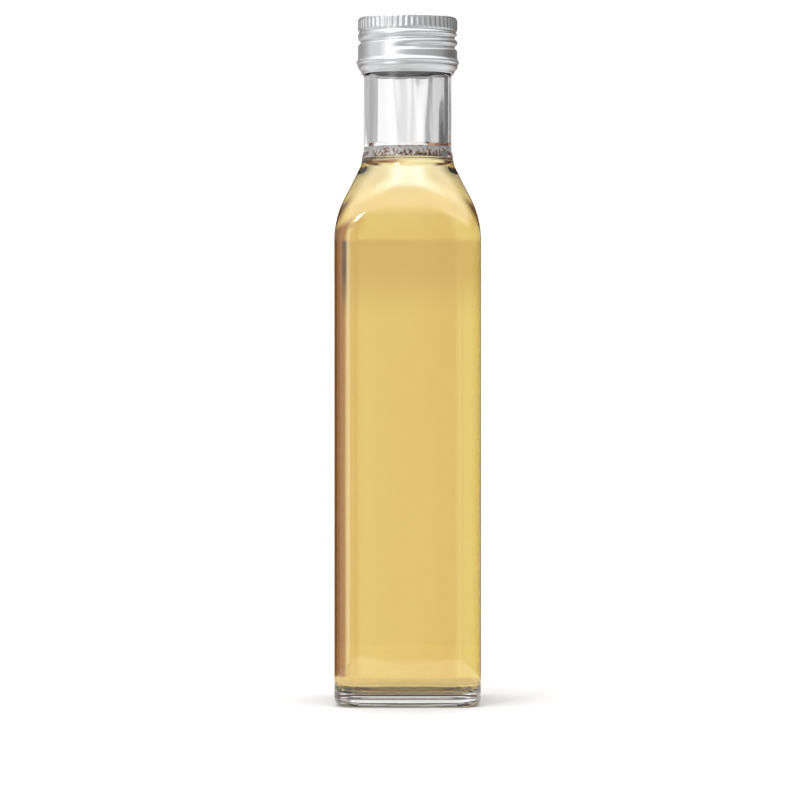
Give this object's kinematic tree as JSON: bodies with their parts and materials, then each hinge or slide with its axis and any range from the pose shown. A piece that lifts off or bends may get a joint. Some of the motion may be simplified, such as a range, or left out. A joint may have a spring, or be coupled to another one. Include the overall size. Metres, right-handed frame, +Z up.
{
  "type": "square glass bottle of vinegar with a screw cap",
  "caption": "Square clear-glass bottle of golden vinegar, filled to the foot of its round neck, with bubbles on top and a rolled aluminium screw cap.",
  "frame": {"origin": "middle of the bottle's base, on the plane it stands on", "axes": "+Z up along the bottle's axis, X and Y square to the body's flat sides"},
  "size_m": [0.0466, 0.0466, 0.2194],
  "materials": {
    "flint_glass": "polished clear flint glass",
    "golden_vinegar": "clear golden liquid",
    "pale_froth": "wet bubbles",
    "satin_aluminium": "satin rolled sheet, bare metal colour"
  },
  "bodies": {
    "root": {"glass_bottle": "flint_glass", "vinegar": "golden_vinegar", "froth": "pale_froth", "cap": "satin_aluminium"}
  },
  "joints": []
}
